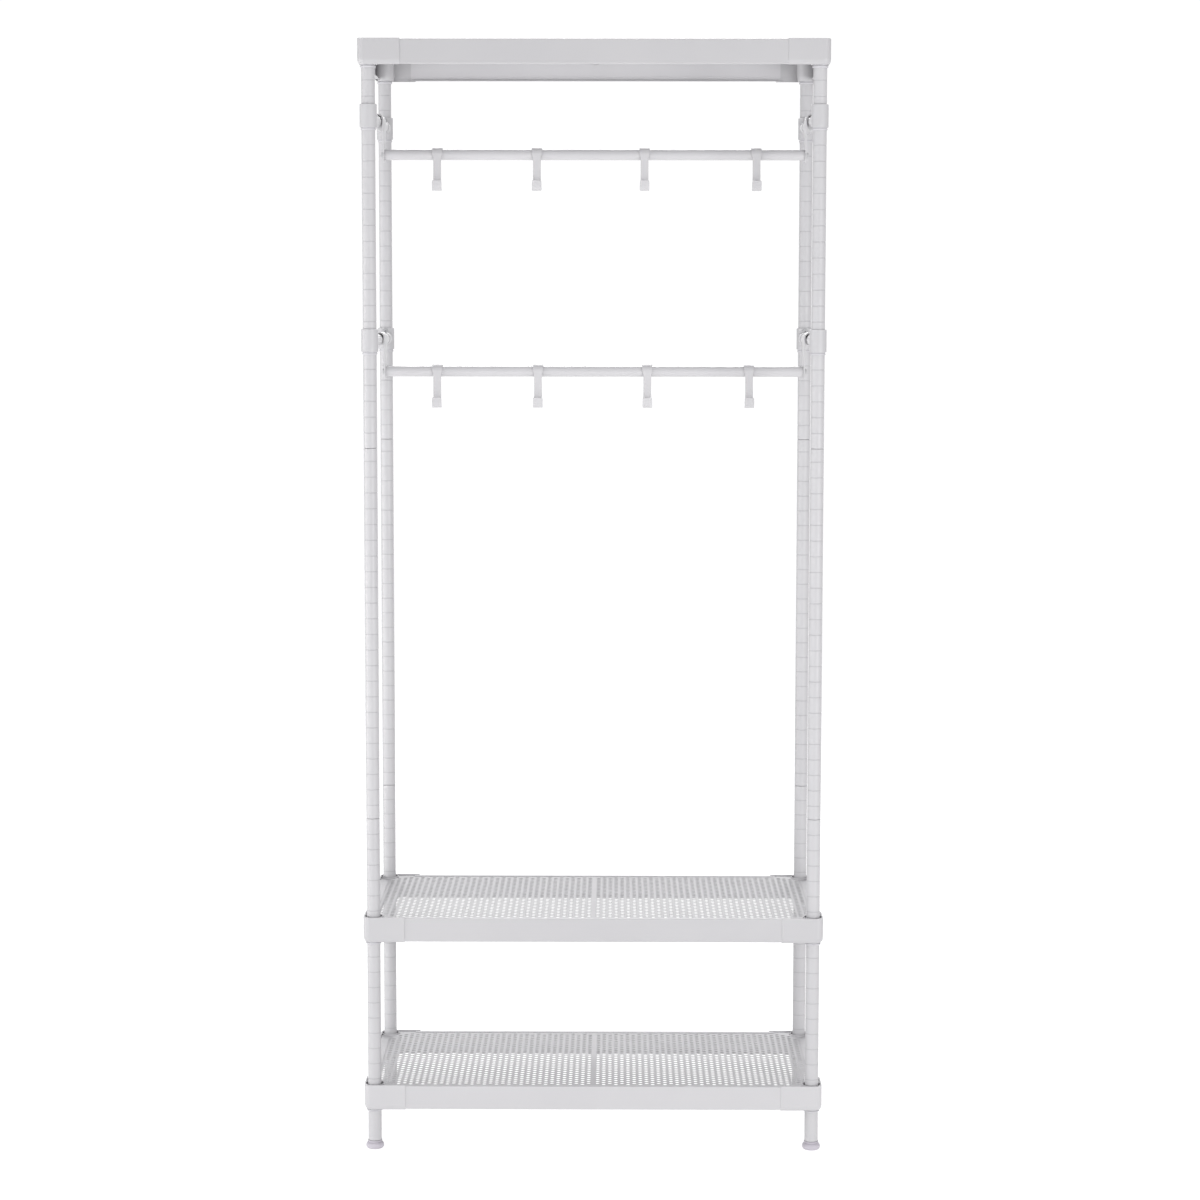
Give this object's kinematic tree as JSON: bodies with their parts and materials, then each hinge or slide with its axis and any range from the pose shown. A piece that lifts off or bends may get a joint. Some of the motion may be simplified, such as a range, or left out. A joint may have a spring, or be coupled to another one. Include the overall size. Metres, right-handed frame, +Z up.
{
  "type": "clothes rack",
  "caption": "Freestanding metal clothes rack on ring-grooved poles with perforated shelves at top and bottom, hanger bars and sliding hooks.",
  "frame": {"origin": "floor level under the middle of the footprint", "axes": "+Z up, along the poles; front faces -Y; +X runs to the right along the shelves as seen from the front"},
  "size_m": [0.75, 0.35, 1.8],
  "materials": {
    "powder_coat": "semi-matt white powder coat with a fine texture",
    "sleeve_plastic": "moulded white plastic, satin",
    "glide_plastic": "moulded off-white plastic with a faint lilac cast, satin"
  },
  "bodies": {
    "rack": {"pole_front_left_lower": "powder_coat", "pole_front_left_middle": "powder_coat", "pole_front_left_upper": "powder_coat", "pole_front_right_lower": "powder_coat", "pole_front_right_middle": "powder_coat", "pole_front_right_upper": "powder_coat", "pole_rear_left_lower": "powder_coat", "pole_rear_left_middle": "powder_coat", "pole_rear_left_upper": "powder_coat", "pole_rear_right_lower": "powder_coat", "pole_rear_right_middle": "powder_coat", "pole_rear_right_upper": "powder_coat", "bottom_shelf_frame": "powder_coat", "bottom_shelf_mesh_deck": "powder_coat", "middle_shelf_frame": "powder_coat", "middle_shelf_mesh_deck": "powder_coat", "top_shelf_frame": "powder_coat", "top_shelf_mesh_deck": "powder_coat", "upper_hanger_left_arm": "powder_coat", "upper_hanger_right_arm": "powder_coat", "upper_hanger_left_bracket": "powder_coat", "upper_hanger_right_bracket": "powder_coat", "upper_hanger_bar": "powder_coat", "lower_hanger_left_arm": "powder_coat", "lower_hanger_right_arm": "powder_coat", "lower_hanger_left_bracket": "powder_coat", "lower_hanger_right_bracket": "powder_coat", "lower_hanger_bar": "powder_coat", "bottom_shelf_sleeve_front_left": "sleeve_plastic", "bottom_shelf_sleeve_front_right": "sleeve_plastic", "bottom_shelf_sleeve_rear_left": "sleeve_plastic", "bottom_shelf_sleeve_rear_right": "sleeve_plastic", "middle_shelf_sleeve_front_left": "sleeve_plastic", "middle_shelf_sleeve_front_right": "sleeve_plastic", "middle_shelf_sleeve_rear_left": "sleeve_plastic", "middle_shelf_sleeve_rear_right": "sleeve_plastic", "top_shelf_sleeve_front_left": "sleeve_plastic", "top_shelf_sleeve_front_right": "sleeve_plastic", "top_shelf_sleeve_rear_left": "sleeve_plastic", "top_shelf_sleeve_rear_right": "sleeve_plastic", "upper_hanger_sleeve_front_left": "sleeve_plastic", "upper_hanger_sleeve_front_right": "sleeve_plastic", "upper_hanger_sleeve_rear_left": "sleeve_plastic", "upper_hanger_sleeve_rear_right": "sleeve_plastic", "lower_hanger_sleeve_front_left": "sleeve_plastic", "lower_hanger_sleeve_front_right": "sleeve_plastic", "lower_hanger_sleeve_rear_left": "sleeve_plastic", "lower_hanger_sleeve_rear_right": "sleeve_plastic"},
    "foot_front_left": {"foot_front_left": "glide_plastic"},
    "foot_front_right": {"foot_front_right": "glide_plastic"},
    "foot_rear_left": {"foot_rear_left": "glide_plastic"},
    "foot_rear_right": {"foot_rear_right": "glide_plastic"},
    "upper_hook_1": {"upper_hook_1": "powder_coat"},
    "upper_hook_2": {"upper_hook_2": "powder_coat"},
    "upper_hook_3": {"upper_hook_3": "powder_coat"},
    "upper_hook_4": {"upper_hook_4": "powder_coat"},
    "lower_hook_1": {"lower_hook_1": "powder_coat"},
    "lower_hook_2": {"lower_hook_2": "powder_coat"},
    "lower_hook_3": {"lower_hook_3": "powder_coat"},
    "lower_hook_4": {"lower_hook_4": "powder_coat"}
  },
  "joints": [
    {"name": "foot_front_left_level", "type": "slide", "parent": "rack", "child": "foot_front_left", "axis": [0, 0, -1], "range_m": [0, 0.01]},
    {"name": "foot_front_right_level", "type": "slide", "parent": "rack", "child": "foot_front_right", "axis": [0, 0, -1], "range_m": [0, 0.01]},
    {"name": "foot_rear_left_level", "type": "slide", "parent": "rack", "child": "foot_rear_left", "axis": [0, 0, -1], "range_m": [0, 0.01]},
    {"name": "foot_rear_right_level", "type": "slide", "parent": "rack", "child": "foot_rear_right", "axis": [0, 0, -1], "range_m": [0, 0.01]},
    {"name": "upper_hook_1_slide", "type": "slide", "parent": "rack", "child": "upper_hook_1", "axis": [1, 0, 0], "range_m": [-0.065, 0.065]},
    {"name": "upper_hook_2_slide", "type": "slide", "parent": "rack", "child": "upper_hook_2", "axis": [1, 0, 0], "range_m": [-0.065, 0.065]},
    {"name": "upper_hook_3_slide", "type": "slide", "parent": "rack", "child": "upper_hook_3", "axis": [1, 0, 0], "range_m": [-0.065, 0.065]},
    {"name": "upper_hook_4_slide", "type": "slide", "parent": "rack", "child": "upper_hook_4", "axis": [1, 0, 0], "range_m": [-0.065, 0.065]},
    {"name": "lower_hook_1_slide", "type": "slide", "parent": "rack", "child": "lower_hook_1", "axis": [1, 0, 0], "range_m": [-0.065, 0.065]},
    {"name": "lower_hook_2_slide", "type": "slide", "parent": "rack", "child": "lower_hook_2", "axis": [1, 0, 0], "range_m": [-0.065, 0.065]},
    {"name": "lower_hook_3_slide", "type": "slide", "parent": "rack", "child": "lower_hook_3", "axis": [1, 0, 0], "range_m": [-0.065, 0.065]},
    {"name": "lower_hook_4_slide", "type": "slide", "parent": "rack", "child": "lower_hook_4", "axis": [1, 0, 0], "range_m": [-0.065, 0.065]}
  ]
}
